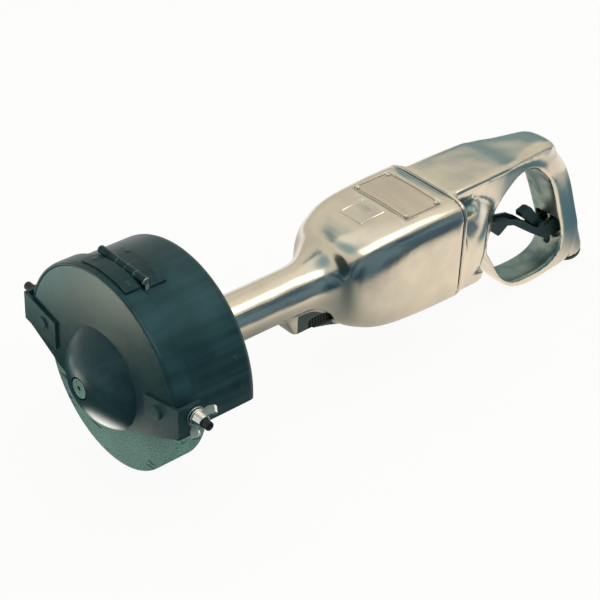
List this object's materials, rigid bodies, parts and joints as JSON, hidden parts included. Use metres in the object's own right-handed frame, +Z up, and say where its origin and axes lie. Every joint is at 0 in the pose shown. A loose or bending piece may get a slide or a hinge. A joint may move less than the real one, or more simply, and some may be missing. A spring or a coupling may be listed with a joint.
{
  "type": "horizontal grinder",
  "caption": "Horizontal air grinder with polished housing, D handle with throttle lever, long neck and a hinged round guard over a straight wheel.",
  "frame": {"origin": "the tip of the arbor, on the spindle's axis", "axes": "+X along the spindle from the wheel to the handle, +Z up from the handle's opening to its spine"},
  "size_m": [0.5509, 0.221, 0.1947],
  "materials": {
    "polished_alloy": "polished casting",
    "guard_paint": "satin blue-black paint",
    "dark_steel": "black oxide steel",
    "bright_steel": "machined steel",
    "bright_nickel": "bright nickel plate",
    "plate": "satin aluminium sheet",
    "abrasive": "coarse bonded abrasive",
    "blotter": "pressed paper",
    "soft_seal": "black rubber",
    "vane_fibre": "layered fibre resin",
    "motor_iron": "ground cast iron",
    "bronze": "turned bronze"
  },
  "bodies": {
    "tool": {"motor_housing": "polished_alloy", "handle_casting": "polished_alloy", "handle_gasket": "soft_seal", "cap_screws": "dark_steel", "name_plate": "plate", "plate_screws": "bright_steel", "arbor_seal": "soft_seal", "front_arbor_bearing": "bright_steel", "rear_arbor_bearing": "bright_steel", "front_end_plate": "motor_iron", "motor_cylinder": "motor_iron", "rear_end_plate": "motor_iron", "front_rotor_bearing": "bright_steel", "rear_rotor_bearing": "bright_steel", "exhaust_screens": "dark_steel", "inlet_bushing": "dark_steel", "inlet_screen": "bright_steel", "valve_guide": "bronze", "valve_plug": "bright_steel", "valve_spring": "bright_steel", "lever_pin": "bright_steel"},
    "guard": {"guard_drum": "guard_paint", "guard_collar": "guard_paint", "guard_clamp_screw": "dark_steel", "rear_hinge_leaf": "guard_paint", "hinge_pin": "dark_steel", "latch_studs": "dark_steel"},
    "cover": {"guard_cover": "guard_paint", "front_hinge_leaf": "guard_paint", "left_latch_bracket": "guard_paint", "right_latch_bracket": "guard_paint", "bracket_rivets": "guard_paint"},
    "left_washer": {"left_latch_washer": "bright_nickel"},
    "left_nut": {"left_locknut": "dark_steel"},
    "right_washer": {"right_latch_washer": "bright_nickel"},
    "right_nut": {"right_wing_nut": "bright_nickel"},
    "spindle": {"arbor": "bright_steel", "grinding_wheel": "abrasive", "wheel_blotters": "blotter", "inner_wheel_flange": "bright_steel", "outer_wheel_flange": "bright_steel", "spindle_nut": "bright_steel", "front_arbor_race": "bright_steel", "rear_arbor_race": "bright_steel", "arbor_coupling": "bright_steel", "rotor": "bright_steel", "rotor_vanes": "vane_fibre", "front_rotor_race": "bright_steel", "rear_rotor_race": "bright_steel"},
    "lever": {"throttle_lever": "dark_steel", "latch_pin": "dark_steel"},
    "latch": {"lock_latch": "dark_steel"},
    "valve": {"valve_stem": "bright_steel", "valve_disc": "soft_seal"}
  },
  "joints": [
    {"name": "guard_turn", "type": "hinge", "parent": "tool", "child": "guard", "pos_m": [0.0855, 0, 0], "axis": [1, 0, 0], "range_deg": [-90, 90]},
    {"name": "cover_hinge", "type": "hinge", "parent": "guard", "child": "cover", "pos_m": [0.0406, -0.0012, 0.0905], "axis": [0, 1, 0], "range_deg": [0, 150]},
    {"name": "left_washer_slide", "type": "slide", "parent": "guard", "child": "left_washer", "axis": [0, 1, 0], "range_m": [0, 0.0042]},
    {"name": "left_nut_turn", "type": "hinge", "parent": "left_washer", "child": "left_nut", "pos_m": [0.0316, 0.0945, 0.018], "axis": [0, 1, 0], "range_deg": [0, 1080]},
    {"name": "right_washer_slide", "type": "slide", "parent": "guard", "child": "right_washer", "axis": [0, -1, 0], "range_m": [0, 0.0042]},
    {"name": "right_nut_turn", "type": "hinge", "parent": "right_washer", "child": "right_nut", "pos_m": [0.0316, -0.0945, 0.018], "axis": [0, -1, 0], "range_deg": [0, 1080]},
    {"name": "spindle_turn", "type": "hinge", "parent": "tool", "child": "spindle", "pos_m": [0.0847, 0, 0], "axis": [1, 0, 0], "continuous": true},
    {"name": "lever_squeeze", "type": "hinge", "parent": "tool", "child": "lever", "pos_m": [0.4986, 0, -0.055], "axis": [0, 1, 0], "range_deg": [0, 9], "stiffness_Nm_per_rad": 1.2, "springref_deg": -8.59},
    {"name": "latch_turn", "type": "hinge", "parent": "lever", "child": "latch", "pos_m": [0.488, 0, -0.046], "axis": [0, 1, 0], "range_deg": [0, 22], "stiffness_Nm_per_rad": 0.03, "springref_deg": -17.19},
    {"name": "valve_slide", "type": "slide", "parent": "tool", "child": "valve", "axis": [0, 0, -1], "range_m": [0, 0.0025], "deforming": ["valve_spring"]}
  ],
  "couplings": [
    {"joint": "left_nut_turn", "follows": "left_washer_slide", "rad_per_m": 4453},
    {"joint": "right_nut_turn", "follows": "right_washer_slide", "rad_per_m": 4453},
    {"joint": "valve_slide", "follows": "lever_squeeze", "m_per_rad": 0.0153}
  ]
}
